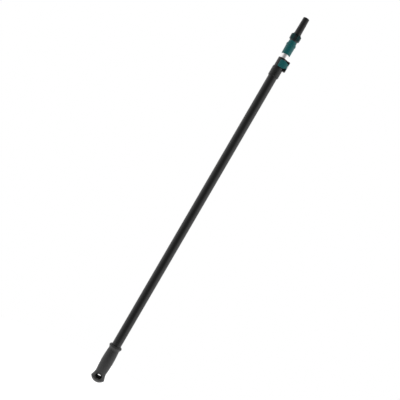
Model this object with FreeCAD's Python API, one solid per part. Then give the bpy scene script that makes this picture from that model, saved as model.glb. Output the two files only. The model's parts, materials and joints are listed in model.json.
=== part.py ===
import FreeCAD, Part
import math
import os

# Two-section telescopic hand pole for window cleaning tools, in millimetres.
# +Z runs along the pole, from the grip's domed end to the tool cone's tip. The origin is the
# dome's lowest point, on the pole's axis. The front is -Y, and the clamp's ears stand out on +X.

# ---------------------------------------------------------------- fits between pieces
SLIP = 0.05            # radial gap between two fixed pieces of one body
LOOSE_SLIP = 0.15      # radial gap of the latch housing's long plug in the inner tube
RUNNING = 0.08         # radial gap of a sliding or turning fit
BODY_GAP = 0.3         # gap between surfaces of bodies that pass each other

# ---------------------------------------------------------------- overall lengths
GRIP_LENGTH = 129.6
LOWER_SECTION_TOP = 1131.0     # the outer tube's upper end, inside the clamp
VISIBLE_STAGE = 15.1           # bare inner tube between the clamp and the head, as stored
HEAD_SLEEVE_LENGTH = 46.4
CONE_LENGTH = 56.7

# ---------------------------------------------------------------- tubes
INNER_TUBE_R = 12.5
INNER_TUBE_WALL = 1.25
BUSH_WALL = 0.87               # liner between the tubes: it sets the outer tube's radius
OUTER_TUBE_WALL = 1.5

# ---------------------------------------------------------------- grip
GRIP_RIM_WALL = 8.3            # rubber outside the tube: the widest circle, on the dome
GRIP_RIM_Z = 13.5
GRIP_WAIST_WALL = 2.7          # both waists
GRIP_LOWER_WAIST_Z = 34.0
GRIP_UPPER_WAIST_BELOW = 16.0  # below the grip's top
GRIP_FLARE_BULGE = 0.75        # how far the flares curve in from a straight cone
GRIP_BARREL_WALL = 4.7
GRIP_BARREL_Z = 76.0
GRIP_LIP_WALL = 6.3
GRIP_LIP_BELOW = 4.2           # the lip's widest circle, below the grip's top
GRIP_LIP_START_WALL = 5.6
GRIP_LIP_START_BELOW = 7.2
GRIP_LIP_END_WALL = 4.4
GRIP_LIP_END_BELOW = 1.1
GRIP_TOP_ROUND = 1.9           # width of the round between lip and top face
GRIP_TOP_BULGE = 0.2
GRIP_RIM_ROUND = 1.2
HANG_HOLE_R = 6.0
HANG_HOLE_Z = 23.0
HANG_MOUTH_WIDTH = 19.0        # both mouths of the hole are oblong, with round ends
HANG_MOUTH_HEIGHT = 12.5
HANG_MOUTH_FLOOR = 12.0        # the mouths reach in to this distance from the pole's axis
HANG_MOUTH_ROUND = 1.2
HANG_HOLE_ROOF = 4.75          # rubber between the hole and the tube's plug

# ---------------------------------------------------------------- plug in the outer tube's foot
PLUG_FLANGE_T = 2.0
PLUG_STEM = 20.0

# ---------------------------------------------------------------- guide bush in the tube's head
BUSH_STEM = 31.0
BUSH_FLANGE_T = 2.0

# ---------------------------------------------------------------- clamp
SOCKET_DEPTH = 30.0            # length of the outer tube held by the clamp
SOCKET_WALL = 2.05
SOCKET_EDGE = 0.8
RIB_COUNT = 5
RIB_PITCH = 5.8
RIB_FIRST = 4.0                # first rib above the socket's lower end
RIB_HEIGHT = 0.5
RIB_CREST = 1.5
RIB_FLANK = 0.5
SHOULDER_T = 0.5               # plastic above the bush, below the collar
SHOULDER_SLOPE = 2.4
COLLAR_WALL = 2.62
COLLAR_LENGTH = 32.0
COLLAR_EDGE = 0.6
EAR_LENGTH = 10.8              # past the collar's outer face
EAR_HALF_Y = 7.0
EAR_CORNER_R = 3.0
EAR_EDGE_R = 2.6
EAR_DROP = 3.5                 # the ears reach down past the shoulder by this
SPLIT_WIDTH = 2.0

# ---------------------------------------------------------------- lever, cam and tension bolt
PIVOT_PAST_COLLAR = 5.8        # bolt and hinge, outside the collar's outer face
PIVOT_ABOVE_SHOULDER = 13.3    # bolt's height above the socket's shoulder
BOLT_R = 2.0
BOLT_PAST_NUT = 1.6
EYE_WALL = 2.1
EYE_HEIGHT = 5.8
LEVER_PIN_R = 1.75
WASHER_T = 1.0
WASHER_HALF_X = 4.2
NUT_WALL = 1.5                 # from the bolt to the nut's flats
NUT_T = 3.4
NUT_SUNK = 2.6
HUB_R = 4.4
CAM_THROW = 0.5
HUB_HEIGHT = 15.4
EYE_COVER_T = 1.1              # the lever's skin over the eye
LEVER_OPEN = 120.0             # degrees the lever swings open
PAD_HEIGHT = 23.8
PAD_LEFT = -5.5
PAD_GAP = 1.2                  # between the collar and the closed pad
PAD_T = 3.6
PAD_CROWN = 3.0                # how far the pad's front bulges from a flat face
PAD_CORNER_R = 3.5
PAD_EDGE_R = 1.6
PAD_TAPER_START = 9.0          # before the hinge: the pad's height starts to narrow
PAD_TAPER_END = 1.0            # before the hinge: it has narrowed to the hub's
ARM_TURN = 12.0                # before the hinge: the inner face leaves the collar's curve

# ---------------------------------------------------------------- inner section's guide
PLUG_CLEARANCE = 2.1           # left below the guide when the pole is pushed fully in
GUIDE_LOWER_FLANGE = 5.0
GUIDE_UPPER_FLANGE = 4.8
GUIDE_STEM = 20.0
GLIDE_HEIGHT = 6.0
GLIDE_SIDE_GAP = 0.1
GLIDE_WALL = 1.44
GUIDE_PIN_R = 1.5
GUIDE_PIN_UP = 8.0             # pin's height above the tube's end

# ---------------------------------------------------------------- head sleeve
SLEEVE_FOOT_WALL = 2.1         # outside the inner tube
SLEEVE_TOP_WALL = 2.6
SLEEVE_EDGE = 0.7
SLEEVE_RING_WALL = 3.5
SLEEVE_RING_START = 31.4       # above the sleeve's foot
SLEEVE_RING_HEIGHT = 6.0
SLEEVE_RING_BEVEL = 0.8
SLEEVE_NECK_LOW_WALL = 1.6
SLEEVE_NECK_TOP_WALL = 0.7

# ---------------------------------------------------------------- latch housing and buttons
HOUSING_PLUG = 32.0
HOUSING_DISC_WALL = 0.6        # outside the inner tube
HOUSING_DISC_T = 4.0
CHAMBER_HEIGHT = 21.0
CORE_HALF_X = 5.0
LIP_WIDTH = 1.1
LIP_HEIGHT = 0.9
BUTTON_TRAVEL = 2.5
BUTTON_PROUD = 4.1             # past the housing's disc
BUTTON_HALF_Y = 10.5
BUTTON_EDGE_R = 1.4
BUTTON_RAMP = 2.2
BUTTON_TAB_INSET = 2.5         # the tab is narrower than the button by this at each end
CHEEK_T = 2.2                  # a button's front and back cheeks, which overlap the core
CHEEK_LAP = 0.6                # how far they reach in past the core's side, at rest
GROOVE_COUNT = 5
GROOVE_PITCH = 2.9
GROOVE_WIDTH = 1.0
GROOVE_DEPTH = 0.5
SPRING_R = 2.1
SPRING_WIRE_R = 0.35
SPRING_TURNS = 5
SPRING_SEAT_R = 2.8
SPRING_SEAT_CORE = 1.0
SPRING_SEAT_BUTTON = 6.2

# ---------------------------------------------------------------- tool cone
CONE_DISC_PAST_LIP = 0.5
CONE_DISC_T = 2.3
CONE_FOOT_R = 11.4
CONE_TIP_R = 10.2
CONE_TIP_ROUND = 1.0
FLUTE_COUNT = 6
FLUTE_R = 1.1
FLUTE_DEPTH = 0.45
FLUTE_MARGIN = 4.0             # cone left plain at each end of a flute
TIP_RECESS_R = 6.5
TIP_RECESS_DEPTH = 6.0
SCREW_R = 2.0
SCREW_HEAD_R = 3.8
SCREW_HEAD_T = 2.4
SCREW_SOCKET_FLATS = 2.5
SCREW_SOCKET_DEPTH = 1.5
SCREW_INTO_PLUG = 22.0

# ---------------------------------------------------------------- rivets
RIVET_R = 1.5
RIVET_HEAD_R = 2.5
RIVET_HEAD_T = 0.7
RIVET_SEAT_GAP = 0.15
RIVET_SINK = 0.25              # how deep a rivet's flat seat goes into the curved wall
RIVET_ANGLES = (50.0, 130.0)   # about +Z from +X: both on the pole's back
CLAMP_RIVET_UP = 15.0          # above the socket's lower end
HEAD_RIVET_UP = 19.4           # above the sleeve's foot
HEAD_RIVET_DEPTH = 1.8         # into the housing's plug

# ---------------------------------------------------------------- heights that follow
GRIP_FLOOR = HANG_HOLE_Z + HANG_MOUTH_HEIGHT / 2 + HANG_HOLE_ROOF
PLUG_TOP = GRIP_FLOOR + PLUG_FLANGE_T + PLUG_STEM
SOCKET_FOOT = LOWER_SECTION_TOP - SOCKET_DEPTH
BUSH_TOP = LOWER_SECTION_TOP + BUSH_FLANGE_T
SHOULDER_Z = BUSH_TOP + SHOULDER_T
CLAMP_TOP = SHOULDER_Z + COLLAR_LENGTH
PIVOT_Z = SHOULDER_Z + PIVOT_ABOVE_SHOULDER
EAR_FOOT_Z = SHOULDER_Z - EAR_DROP
WASHER_FACE_Y = -EAR_HALF_Y - WASHER_T
PIVOT_Y = WASHER_FACE_Y - BODY_GAP - HUB_R - CAM_THROW
SLEEVE_FOOT_Z = CLAMP_TOP + VISIBLE_STAGE
SLEEVE_RING_Z = SLEEVE_FOOT_Z + SLEEVE_RING_START
SLEEVE_TOP_Z = SLEEVE_FOOT_Z + HEAD_SLEEVE_LENGTH
CHAMBER_Z = SLEEVE_TOP_Z + HOUSING_DISC_T
CHAMBER_TOP = CHAMBER_Z + CHAMBER_HEIGHT
CONE_FOOT_Z = CHAMBER_TOP + CONE_DISC_T
CONE_TIP_Z = CONE_FOOT_Z + CONE_LENGTH
RETRACT = VISIBLE_STAGE - BODY_GAP
GUIDE_FOOT = PLUG_TOP + RETRACT + PLUG_CLEARANCE
GLIDE_Z = GUIDE_FOOT + GUIDE_LOWER_FLANGE + GLIDE_SIDE_GAP
GROOVE_TOP = GLIDE_Z + GLIDE_HEIGHT + GLIDE_SIDE_GAP
INNER_TUBE_FOOT = GROOVE_TOP + GUIDE_UPPER_FLANGE

# ---------------------------------------------------------------- radii that follow
INNER_BORE_R = INNER_TUBE_R - INNER_TUBE_WALL
SLIDE_BORE_R = INNER_TUBE_R + RUNNING
BUSH_R = SLIDE_BORE_R + BUSH_WALL
OUTER_BORE_R = BUSH_R + SLIP
OUTER_TUBE_R = OUTER_BORE_R + OUTER_TUBE_WALL
SOCKET_BORE_R = OUTER_TUBE_R + SLIP
SOCKET_R = SOCKET_BORE_R + SOCKET_WALL
COLLAR_R = SLIDE_BORE_R + COLLAR_WALL
EAR_REACH = COLLAR_R + EAR_LENGTH
PIVOT_X = COLLAR_R + PIVOT_PAST_COLLAR
GRIP_RIM_R = OUTER_TUBE_R + GRIP_RIM_WALL
GUIDE_PISTON_R = OUTER_BORE_R - BODY_GAP
GLIDE_R = OUTER_BORE_R - RUNNING
GLIDE_BORE_R = GLIDE_R - GLIDE_WALL
GLIDE_GROOVE_R = GLIDE_BORE_R - RUNNING
GUIDE_STEM_R = INNER_BORE_R - SLIP
HOUSING_PLUG_R = INNER_BORE_R - LOOSE_SLIP
SLEEVE_FOOT_R = INNER_TUBE_R + SLEEVE_FOOT_WALL
SLEEVE_TOP_R = INNER_TUBE_R + SLEEVE_TOP_WALL
SLEEVE_RING_R = INNER_TUBE_R + SLEEVE_RING_WALL
HOUSING_DISC_R = INNER_TUBE_R + HOUSING_DISC_WALL
LIP_IN_R = HOUSING_DISC_R - LIP_WIDTH
CORE_HALF_Y = BUTTON_HALF_Y - CHEEK_T - BODY_GAP
BUTTON_R = HOUSING_DISC_R + BUTTON_PROUD
CONE_DISC_R = LIP_IN_R + CONE_DISC_PAST_LIP
EYE_R = LEVER_PIN_R + SLIP + EYE_WALL
HUB_COVER_R = EYE_R + BODY_GAP + EYE_COVER_T
PAD_IN_R = COLLAR_R + PAD_GAP
PAD_OUT_R = PAD_IN_R + PAD_T
BUTTON_IN_X = CORE_HALF_X + BODY_GAP + BUTTON_TRAVEL
CHEEK_IN_X = CORE_HALF_X - CHEEK_LAP
BUTTON_LOW_Z = CHAMBER_Z + LIP_HEIGHT + BODY_GAP
BUTTON_TOP_Z = CHAMBER_TOP - LIP_HEIGHT - BODY_GAP
BUTTON_MID_Z = (BUTTON_LOW_Z + BUTTON_TOP_Z) / 2
CUT = 1.0              # how far a cutting shape runs past the face it cuts
SAME = 0.01            # two sizes closer than this count as equal when an edge is picked
FULL_TURN = 360.0


def point(x, y, z=0.0):
    return FreeCAD.Vector(x, y, z)


UP = point(0, 0, 1)
ALONG_X = point(1, 0, 0)
ALONG_Y = point(0, 1, 0)


def cylinder(radius, low, high, x=0.0, y=0.0):
    return Part.makeCylinder(radius, high - low, point(x, y, low), UP)


def crosswise(radius, y0, y1, x=0.0, z=0.0):
    """A round bar along Y, from y0 to y1."""
    return Part.makeCylinder(radius, y1 - y0, point(x, y0, z), ALONG_Y)


def tube(outer, inner, low, high):
    return cylinder(outer, low, high).cut(cylinder(inner, low - CUT, high + CUT))


def block(x0, x1, y0, y1, z0, z1):
    return Part.makeBox(x1 - x0, y1 - y0, z1 - z0, point(x0, y0, z0))


def path(start, *steps):
    """A closed face from a start (a, b) and steps: (end,) for a line, (middle, end) for an arc."""
    edges = []
    here = start
    for step in steps:
        corners = [point(a, b) for a, b in (here,) + step]
        if len(step) == 1:
            edges.append(Part.LineSegment(*corners).toShape())
        else:
            edges.append(Part.Arc(*corners).toShape())
        here = step[-1]
    if here != start:
        edges.append(Part.LineSegment(point(*here), point(*start)).toShape())
    return Part.Face(Part.Wire(edges))


def lathe(face):
    """Turns a face drawn as (radius, height) about the pole's axis."""
    face.rotate(point(0, 0), ALONG_X, 90)
    return face.revolve(point(0, 0), UP, FULL_TURN)


def lines(points):
    return path(points[0], *[(p,) for p in points[1:]])


def plan_prism(face, low, high):
    """Raises a face drawn in plan (x, y) from one height to another."""
    face.translate(point(0, 0, low))
    return face.extrude(point(0, 0, high - low))


def front_prism(face, y0, y1):
    """Extrudes a face drawn as (x, height), seen from the front, along Y."""
    face.rotate(point(0, 0), ALONG_X, 90)
    face.translate(point(0, y0))
    return face.extrude(point(0, y1 - y0))


def round_edges(shape, radius, wanted):
    """Rounds the edges that the test picks by their bounding box."""
    edges = [edge for edge in shape.Edges if wanted(edge.BoundBox)]
    return shape.makeFillet(radius, edges)


def near(a, b):
    return abs(a - b) < SAME


def corner_middle(radius):
    """How far a rounded corner's middle is from each of the two sides it joins."""
    return radius * (1 - math.sqrt(0.5))


def midway(a, b, bulge=0.0):
    """The middle of a line between two (radius, height) points, moved towards the axis."""
    return ((a[0] + b[0]) / 2 - bulge, (a[1] + b[1]) / 2)


def hexagon(flats, centre_x, centre_y):
    corner = flats / math.sqrt(3)
    turns = [math.radians(60 * k) for k in range(6)]
    return lines([(centre_x + corner * math.cos(t), centre_y + corner * math.sin(t)) for t in turns])


def radial_pin(radius, inner, outer, angle, height):
    """A round pin that points out from the axis, from one radius to another."""
    way = point(math.cos(math.radians(angle)), math.sin(math.radians(angle)))
    return Part.makeCylinder(radius, outer - inner, way * inner + point(0, 0, height), way)


# ---------------------------------------------------------------- grip and lower section
def handle_grip():
    """Rubber grip: domed end with a hang hole, two waists, a barrel and a flanged lip."""
    sphere_r = (GRIP_RIM_R ** 2 + GRIP_RIM_Z ** 2) / (2 * GRIP_RIM_Z)
    half = math.asin(GRIP_RIM_R / sphere_r) / 2
    dome_mid = (sphere_r * math.sin(half), sphere_r - sphere_r * math.cos(half))
    rim = (GRIP_RIM_R, GRIP_RIM_Z)
    low_waist = (OUTER_TUBE_R + GRIP_WAIST_WALL, GRIP_LOWER_WAIST_Z)
    barrel = (OUTER_TUBE_R + GRIP_BARREL_WALL, GRIP_BARREL_Z)
    high_waist = (OUTER_TUBE_R + GRIP_WAIST_WALL, GRIP_LENGTH - GRIP_UPPER_WAIST_BELOW)
    lip_start = (OUTER_TUBE_R + GRIP_LIP_START_WALL, GRIP_LENGTH - GRIP_LIP_START_BELOW)
    lip = (OUTER_TUBE_R + GRIP_LIP_WALL, GRIP_LENGTH - GRIP_LIP_BELOW)
    lip_end = (OUTER_TUBE_R + GRIP_LIP_END_WALL, GRIP_LENGTH - GRIP_LIP_END_BELOW)
    top_edge = (lip_end[0] - GRIP_TOP_ROUND, GRIP_LENGTH)
    top_mid = midway(lip_end, top_edge, -GRIP_TOP_BULGE)
    outline = path(
        (0.0, 0.0),
        (dome_mid, rim),
        (midway(rim, low_waist, GRIP_FLARE_BULGE), low_waist),
        (barrel, high_waist),
        (midway(high_waist, lip_start, GRIP_FLARE_BULGE), lip_start),
        (lip, lip_end),
        (top_mid, top_edge),
        ((0.0, GRIP_LENGTH),),
    )
    grip = lathe(outline)
    grip = round_edges(grip, GRIP_RIM_ROUND, lambda b: near(b.ZMin, GRIP_RIM_Z) and near(b.ZMax, GRIP_RIM_Z))
    grip = grip.cut(cylinder(SOCKET_BORE_R, GRIP_FLOOR, GRIP_LENGTH + CUT))
    reach = GRIP_RIM_R + CUT
    grip = grip.cut(front_prism(hang_mouth_face(), -reach, -HANG_MOUTH_FLOOR))
    grip = grip.cut(front_prism(hang_mouth_face(), HANG_MOUTH_FLOOR, reach))
    grip = round_edges(grip, HANG_MOUTH_ROUND, on_hang_mouth)
    return grip.cut(crosswise(HANG_HOLE_R, -reach, reach, z=HANG_HOLE_Z))


def hang_mouth_face():
    """A mouth of the hang hole seen from the front: two straight sides joined by half circles."""
    radius = HANG_MOUTH_HEIGHT / 2
    half = HANG_MOUTH_WIDTH / 2 - radius
    low = HANG_HOLE_Z - radius
    high = HANG_HOLE_Z + radius
    return path(
        (-half, low),
        ((half, low),),
        ((half + radius, HANG_HOLE_Z), (half, high)),
        ((-half, high),),
        ((-half - radius, HANG_HOLE_Z), (-half, low)),
    )


def on_hang_mouth(b):
    """Picks the mouths' edges on the grip's outer face, front and back."""
    outside = b.YMin > OUTER_TUBE_R or b.YMax < -OUTER_TUBE_R
    reach = HANG_MOUTH_HEIGHT / 2 + CUT
    return outside and b.ZMin > HANG_HOLE_Z - reach and b.ZMax < HANG_HOLE_Z + reach


def tube_plug():
    """Plug that closes the outer tube's foot, with a flange against the grip's floor."""
    flange = cylinder(OUTER_TUBE_R, GRIP_FLOOR, GRIP_FLOOR + PLUG_FLANGE_T)
    return flange.fuse(cylinder(BUSH_R, GRIP_FLOOR, PLUG_TOP)).removeSplitter()


def outer_tube():
    wall = tube(OUTER_TUBE_R, OUTER_BORE_R, GRIP_FLOOR + PLUG_FLANGE_T, LOWER_SECTION_TOP)
    return wall.cut(clamp_rivet_holes())


def clamp_rivet_holes():
    height = SOCKET_FOOT + CLAMP_RIVET_UP
    return Part.makeCompound(
        [radial_pin(RIVET_R + SLIP, OUTER_BORE_R - CUT, SOCKET_R + CUT, a, height) for a in RIVET_ANGLES]
    )


def guide_bush():
    """Flanged liner at the tube's mouth, in which the inner tube slides and turns."""
    stem = cylinder(BUSH_R, LOWER_SECTION_TOP - BUSH_STEM, BUSH_TOP)
    flange = cylinder(OUTER_TUBE_R, LOWER_SECTION_TOP, BUSH_TOP)
    bore = cylinder(SLIDE_BORE_R, LOWER_SECTION_TOP - BUSH_STEM - CUT, BUSH_TOP + CUT)
    return stem.fuse(flange).cut(bore).removeSplitter()


# ---------------------------------------------------------------- clamp
def clamp_body():
    """Ribbed socket on the outer tube, with a split collar and two ears around the inner tube."""
    body = lathe(lines(clamp_outline())).fuse(ear_block())
    body = body.cut(cylinder(SLIDE_BORE_R, EAR_FOOT_Z - CUT, CLAMP_TOP + CUT))
    body = body.cut(cylinder(SOCKET_BORE_R, EAR_FOOT_Z - CUT, BUSH_TOP))
    half = SPLIT_WIDTH / 2
    body = body.cut(block(SLIDE_BORE_R / 2, EAR_REACH + CUT, -half, half, SHOULDER_Z, CLAMP_TOP + CUT))
    body = body.cut(block(SOCKET_R, EAR_REACH + CUT, -half, half, EAR_FOOT_Z - CUT, CLAMP_TOP + CUT))
    body = body.cut(bolt_hole()).cut(nut_shape(2 * SLIP, CUT))
    seats = rivet_seats(SOCKET_R, SOCKET_FOOT + CLAMP_RIVET_UP)
    return body.cut(clamp_rivet_holes()).cut(seats)


def clamp_outline():
    """The clamp's section as (radius, height) corners, from the socket's foot up and back."""
    corners = [
        (SOCKET_BORE_R, SOCKET_FOOT),
        (SOCKET_R - SOCKET_EDGE, SOCKET_FOOT),
        (SOCKET_R, SOCKET_FOOT + SOCKET_EDGE),
    ]
    for k in range(RIB_COUNT):
        middle = SOCKET_FOOT + RIB_FIRST + k * RIB_PITCH
        crest = RIB_CREST / 2
        corners += [
            (SOCKET_R, middle - crest - RIB_FLANK),
            (SOCKET_R + RIB_HEIGHT, middle - crest),
            (SOCKET_R + RIB_HEIGHT, middle + crest),
            (SOCKET_R, middle + crest + RIB_FLANK),
        ]
    return corners + [
        (SOCKET_R, SHOULDER_Z),
        (COLLAR_R, SHOULDER_Z + SHOULDER_SLOPE),
        (COLLAR_R, CLAMP_TOP - COLLAR_EDGE),
        (COLLAR_R - COLLAR_EDGE, CLAMP_TOP),
        (SLIDE_BORE_R, CLAMP_TOP),
        (SLIDE_BORE_R, BUSH_TOP),
        (SOCKET_BORE_R, BUSH_TOP),
    ]


def ear_block():
    """Both ears in one, before the split: rounded corners towards +X."""
    turn = corner_middle(EAR_CORNER_R)
    outline = path(
        (SLIDE_BORE_R / 2, EAR_FOOT_Z),
        ((EAR_REACH - EAR_CORNER_R, EAR_FOOT_Z),),
        ((EAR_REACH - turn, EAR_FOOT_Z + turn), (EAR_REACH, EAR_FOOT_Z + EAR_CORNER_R)),
        ((EAR_REACH, CLAMP_TOP - EAR_CORNER_R),),
        ((EAR_REACH - turn, CLAMP_TOP - turn), (EAR_REACH - EAR_CORNER_R, CLAMP_TOP)),
        ((SLIDE_BORE_R / 2, CLAMP_TOP),),
    )
    ears = front_prism(outline, -EAR_HALF_Y, EAR_HALF_Y)
    return round_edges(ears, EAR_EDGE_R, lambda b: near(b.YLength, 0) and near(b.XMax, EAR_REACH))


def bolt_hole():
    return crosswise(BOLT_R + SLIP, WASHER_FACE_Y - CUT, EAR_HALF_Y + NUT_T, PIVOT_X, PIVOT_Z)


def nut_shape(gap=0.0, past=0.0):
    """The tension nut's hexagon in the back ear, or, with a gap, its pocket."""
    face = hexagon(2 * (BOLT_R + NUT_WALL + gap), PIVOT_X, PIVOT_Z)
    return front_prism(face, EAR_HALF_Y - NUT_SUNK, EAR_HALF_Y - NUT_SUNK + NUT_T + past)


def adjusting_nut():
    return nut_shape().cut(bolt_hole())


def cam_washer():
    """Steel plate on the front ear that the lever's cam presses on."""
    left = PIVOT_X - WASHER_HALF_X
    low = PIVOT_Z - HUB_HEIGHT / 2
    plate = block(left, left + 2 * WASHER_HALF_X, WASHER_FACE_Y, -EAR_HALF_Y, low, low + HUB_HEIGHT)
    return plate.cut(bolt_hole())


def tension_bolt():
    """Eye bolt that joins the lever to the far ear, through both ears."""
    end = EAR_HALF_Y - NUT_SUNK + NUT_T + BOLT_PAST_NUT
    shank = crosswise(BOLT_R, PIVOT_Y, end, PIVOT_X, PIVOT_Z)
    half = EYE_HEIGHT / 2
    eye = cylinder(EYE_R, PIVOT_Z - half, PIVOT_Z + half, PIVOT_X, PIVOT_Y)
    bore = cylinder(LEVER_PIN_R + SLIP, PIVOT_Z - half - CUT, PIVOT_Z + half + CUT, PIVOT_X, PIVOT_Y)
    return shank.fuse(eye).cut(bore)


def lever_pin():
    half = HUB_HEIGHT / 2
    return cylinder(LEVER_PIN_R, PIVOT_Z - half, PIVOT_Z + half, PIVOT_X, PIVOT_Y)


def clamp_lever():
    """Cam lever: a curved pad over the collar's front, with a slotted eccentric hub."""
    low = PIVOT_Z - PAD_HEIGHT / 2
    high = PIVOT_Z + PAD_HEIGHT / 2
    lever = plan_prism(arm_plan(), low, high)
    lever = lever.fuse(cylinder(HUB_R, low, high, PIVOT_X, PIVOT_Y + CAM_THROW))
    cover = cylinder(HUB_COVER_R, low, high, PIVOT_X, PIVOT_Y)
    half = HUB_COVER_R / 2
    front = block(PIVOT_X - half, PIVOT_X + half, PIVOT_Y - HUB_COVER_R, PIVOT_Y, low, high)
    lever = lever.fuse(cover.common(front)).removeSplitter()
    lever = lever.common(front_prism(pad_front(), PIVOT_Y - PAD_OUT_R, 0)).removeSplitter()
    lever = soften_pad(lever)
    lever = lever.cut(cylinder(LEVER_PIN_R + SLIP, low - CUT, high + CUT, PIVOT_X, PIVOT_Y))
    return lever.cut(eye_slot())


def arm_plan():
    """The pad and arm in plan, from the pad's free end to the hub's middle."""
    def on_circle(radius, x):
        return (x, -math.sqrt(radius ** 2 - x ** 2))

    inner_start = on_circle(PAD_IN_R, PAD_LEFT)
    inner_end = on_circle(PAD_IN_R, PIVOT_X - ARM_TURN)
    inner_mid = on_circle(PAD_IN_R, (PAD_LEFT + inner_end[0]) / 2)
    outer_start = on_circle(PAD_OUT_R, PAD_LEFT)
    hub_front = (PIVOT_X, PIVOT_Y - HUB_COVER_R)
    outer_mid = ((PAD_LEFT + PIVOT_X) / 2, (outer_start[1] + hub_front[1]) / 2 - PAD_CROWN)
    return path(
        inner_start,
        (inner_mid, inner_end),
        ((PIVOT_X, PIVOT_Y),),
        (hub_front,),
        (outer_mid, outer_start),
    )


def pad_front():
    """The lever seen from the front: rounded at its free end, tapering to the hub."""
    half = PAD_HEIGHT / 2
    hub = HUB_HEIGHT / 2
    turn = corner_middle(PAD_CORNER_R)
    right = PIVOT_X + 2 * HUB_COVER_R
    return path(
        (PAD_LEFT + PAD_CORNER_R, PIVOT_Z - half),
        ((PIVOT_X - PAD_TAPER_START, PIVOT_Z - half),),
        ((PIVOT_X - PAD_TAPER_END, PIVOT_Z - hub),),
        ((right, PIVOT_Z - hub),),
        ((right, PIVOT_Z + hub),),
        ((PIVOT_X - PAD_TAPER_END, PIVOT_Z + hub),),
        ((PIVOT_X - PAD_TAPER_START, PIVOT_Z + half),),
        ((PAD_LEFT + PAD_CORNER_R, PIVOT_Z + half),),
        ((PAD_LEFT + turn, PIVOT_Z + half - turn), (PAD_LEFT, PIVOT_Z + half - PAD_CORNER_R)),
        ((PAD_LEFT, PIVOT_Z - half + PAD_CORNER_R),),
        ((PAD_LEFT + turn, PIVOT_Z - half + turn), (PAD_LEFT + PAD_CORNER_R, PIVOT_Z - half)),
    )


def soften_pad(lever):
    """Rounds the pad's front rim, from its free end to where it tapers."""
    front = -(PAD_IN_R + PAD_OUT_R) / 2

    def on_front(b):
        return b.YMax < front and b.XMax < PIVOT_X - PAD_TAPER_END and b.ZLength < PAD_HEIGHT

    return round_edges(lever, PAD_EDGE_R, on_front)


def eye_slot():
    """Cutter between the hub's cheeks: room for the eye, and for the bolt as the lever swings."""
    low = PIVOT_Z - EYE_HEIGHT / 2 - BODY_GAP
    high = PIVOT_Z + EYE_HEIGHT / 2 + BODY_GAP
    width = BOLT_R + BODY_GAP
    reach = 2 * HUB_COVER_R
    swing = math.radians(90 - LEVER_OPEN)
    along = (math.cos(swing), math.sin(swing))
    below = (math.sin(swing) * width, -math.cos(swing) * width)
    fan = [
        (-width, 0.0),
        (-width, reach),
        (reach, reach),
        (along[0] * reach + below[0], along[1] * reach + below[1]),
        below,
    ]
    sector = plan_prism(lines(fan), low, high)
    sector.translate(point(PIVOT_X, PIVOT_Y))
    return cylinder(EYE_R + BODY_GAP, low, high, PIVOT_X, PIVOT_Y).fuse(sector)


# ---------------------------------------------------------------- inner section
def inner_guide():
    """Guide plug in the inner tube's foot, with a groove that carries the glide ring."""
    guide = cylinder(GUIDE_PISTON_R, GUIDE_FOOT, INNER_TUBE_FOOT)
    guide = guide.cut(tube(OUTER_TUBE_R, GLIDE_GROOVE_R, GUIDE_FOOT + GUIDE_LOWER_FLANGE, GROOVE_TOP))
    stem = cylinder(GUIDE_STEM_R, GUIDE_FOOT + CUT, INNER_TUBE_FOOT + GUIDE_STEM)
    return guide.fuse(stem).removeSplitter().cut(guide_pin_shape(SLIP, CUT))


def guide_pin_shape(gap=0.0, past=0.0):
    reach = INNER_TUBE_R + past
    return crosswise(GUIDE_PIN_R + gap, -reach, reach, z=INNER_TUBE_FOOT + GUIDE_PIN_UP)


def guide_pin():
    """Cross pin, flush with the inner tube."""
    return guide_pin_shape().common(cylinder(INNER_TUBE_R, GUIDE_FOOT, SLEEVE_FOOT_Z))


def glide_ring():
    """Slide ring that centres the inner section in the outer tube."""
    return tube(GLIDE_R, GLIDE_BORE_R, GLIDE_Z, GLIDE_Z + GLIDE_HEIGHT)


def inner_tube():
    wall = tube(INNER_TUBE_R, INNER_BORE_R, INNER_TUBE_FOOT, SLEEVE_RING_Z)
    wall = wall.cut(guide_pin_shape(SLIP, CUT))
    return wall.cut(head_rivet_holes())


def head_rivet_holes():
    height = SLEEVE_FOOT_Z + HEAD_RIVET_UP
    inner = HOUSING_PLUG_R - HEAD_RIVET_DEPTH - SLIP
    return Part.makeCompound(
        [radial_pin(RIVET_R + SLIP, inner, SLEEVE_RING_R + CUT, a, height) for a in RIVET_ANGLES]
    )


def head_sleeve():
    """Sleeve over the inner tube's end: slightly flared, with a raised ring and a tapered neck."""
    ring_top = SLEEVE_RING_Z + SLEEVE_RING_HEIGHT
    outline = lines([
        (INNER_TUBE_R + SLIP, SLEEVE_FOOT_Z),
        (SLEEVE_FOOT_R - SLEEVE_EDGE, SLEEVE_FOOT_Z),
        (SLEEVE_FOOT_R, SLEEVE_FOOT_Z + SLEEVE_EDGE),
        (SLEEVE_TOP_R, SLEEVE_RING_Z - SLEEVE_RING_BEVEL),
        (SLEEVE_RING_R, SLEEVE_RING_Z),
        (SLEEVE_RING_R, ring_top - SLEEVE_RING_BEVEL),
        (INNER_TUBE_R + SLEEVE_NECK_LOW_WALL, ring_top),
        (INNER_TUBE_R + SLEEVE_NECK_TOP_WALL, SLEEVE_TOP_Z),
        (HOUSING_PLUG_R + SLIP, SLEEVE_TOP_Z),
        (HOUSING_PLUG_R + SLIP, SLEEVE_RING_Z),
        (INNER_TUBE_R + SLIP, SLEEVE_RING_Z),
    ])
    seats = rivet_seats(sleeve_radius(HEAD_RIVET_UP), SLEEVE_FOOT_Z + HEAD_RIVET_UP)
    return lathe(outline).cut(head_rivet_holes()).cut(seats)


def sleeve_radius(above_foot):
    share = above_foot / SLEEVE_RING_START
    return SLEEVE_FOOT_R + share * (SLEEVE_TOP_R - SLEEVE_FOOT_R)


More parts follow.
